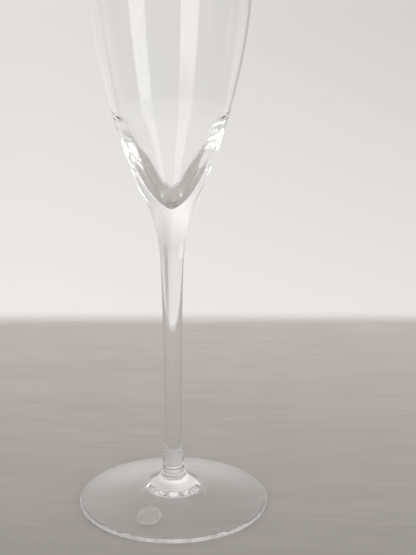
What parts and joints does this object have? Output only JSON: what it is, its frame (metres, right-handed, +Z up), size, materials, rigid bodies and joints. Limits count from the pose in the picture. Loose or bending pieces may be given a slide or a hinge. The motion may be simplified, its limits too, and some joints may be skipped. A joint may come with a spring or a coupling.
{
  "type": "champagne flute",
  "caption": "Tall stemmed champagne flute with a thin tulip bowl, thick pointed bottom, slim drawn stem, glass collar and round foot.",
  "frame": {"origin": "centre of the plane that the foot rests on", "axes": "+Z up the stem towards the mouth; the label lies on the foot towards -Y and a little towards -X"},
  "size_m": [0.07, 0.07, 0.24],
  "materials": {
    "bowl_glass": "clear, fire-polished",
    "stem_glass": "clear, fire-polished",
    "foot_glass": "clear, fire-polished",
    "label_film": "clear film, slightly hazy"
  },
  "bodies": {
    "root": {"bowl": "bowl_glass", "stem": "stem_glass", "stem_collar": "stem_glass", "foot": "foot_glass", "foot_label": "label_film"}
  },
  "joints": []
}
